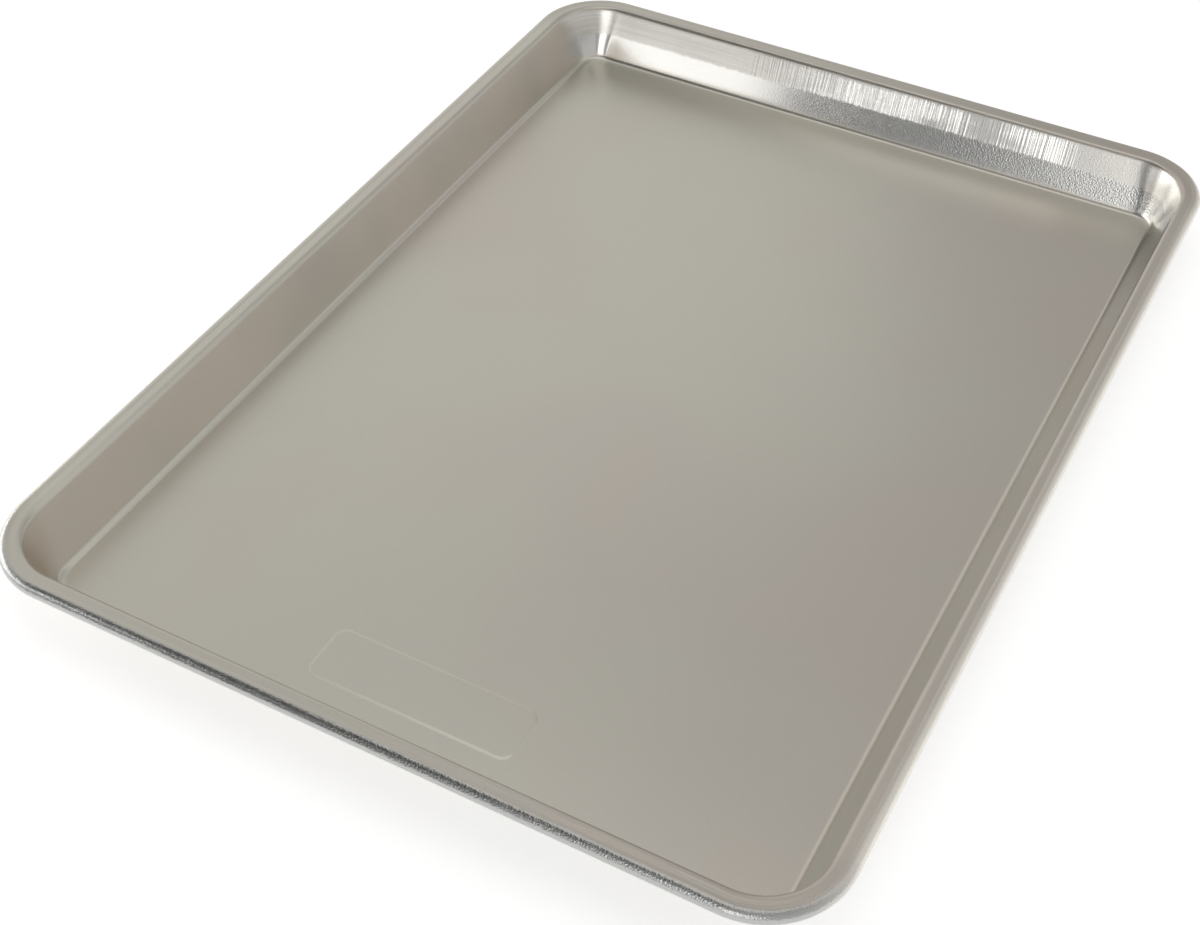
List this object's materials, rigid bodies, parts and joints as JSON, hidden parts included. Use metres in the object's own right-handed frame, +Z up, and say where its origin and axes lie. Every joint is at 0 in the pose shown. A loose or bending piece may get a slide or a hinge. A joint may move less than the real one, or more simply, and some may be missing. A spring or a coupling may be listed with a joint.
{
  "type": "jelly roll pan",
  "caption": "Shallow rectangular baking pan of pressed aluminium with sloping walls, rounded corners, a flat shelf and a rim rolled over a steel wire.",
  "frame": {"origin": "on the table under the middle of the pan", "axes": "+Z up, +Y along the pan's length away from the end with the pressed panel, +X across its width"},
  "size_m": [0.302, 0.413, 0.023],
  "materials": {
    "sheet": "satin",
    "wire": "galvanised"
  },
  "bodies": {
    "root": {"pan_sheet": "sheet", "rim_wire": "wire"}
  },
  "joints": []
}
